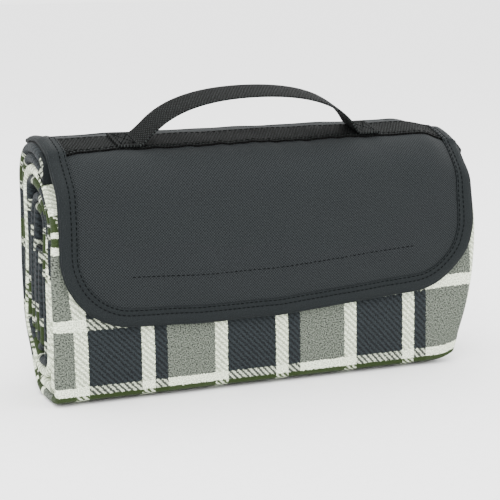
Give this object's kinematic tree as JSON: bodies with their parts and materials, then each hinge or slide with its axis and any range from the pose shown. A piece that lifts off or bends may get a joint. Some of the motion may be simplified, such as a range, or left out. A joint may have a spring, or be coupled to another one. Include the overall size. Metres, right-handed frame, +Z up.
{
  "type": "roll-up camp blanket",
  "caption": "Fleece camp blanket rolled into a flat upright bundle, closed by a front flap, with a webbing band and carry handle on top.",
  "frame": {"origin": "centre of the footprint at the base the bundle stands on", "axes": "+X along the bundle's width, -Y out of the flap's front, +Z up"},
  "size_m": [0.32, 0.0886, 0.2064],
  "materials": {
    "fleece": "brushed plaid fleece in grey, off-white, dark blue-grey and olive",
    "backing": "coated waterproof cloth, dark",
    "shell": "coarse woven charcoal polyester",
    "lining": "thin woven dark lining",
    "binding": "folded woven edge binding, charcoal",
    "webbing": "woven webbing, near black",
    "tape": "hook and loop tape, black",
    "thread": "polyester sewing thread, charcoal"
  },
  "bodies": {
    "roll": {"fleece_blanket": "fleece", "waterproof_backing": "backing", "edge_binding_outer": "binding", "edge_binding_inner": "binding", "flap_top_lining": "lining", "flap_top_shell": "shell", "flap_top_binding_left": "binding", "flap_top_binding_right": "binding", "loop_tape": "tape", "anchor_band": "webbing", "handle_end_left": "webbing", "handle_end_right": "webbing", "handle_tack_left": "thread", "handle_tack_right": "thread"},
    "flap": {"flap_lining": "lining", "flap_shell": "shell", "flap_binding": "binding", "hook_tape": "tape"},
    "handle": {"handle_arch": "webbing"}
  },
  "joints": [
    {"name": "flap_hinge", "type": "hinge", "parent": "roll", "child": "flap", "pos_m": [0, -0.04425, 0.14356], "axis": [-1, 0, 0], "range_deg": [0, 165]},
    {"name": "handle_lean", "type": "hinge", "parent": "roll", "child": "handle", "pos_m": [-0.008, -0.01207, 0.17713], "axis": [-1, 0, 0], "range_deg": [-37, 48]}
  ]
}
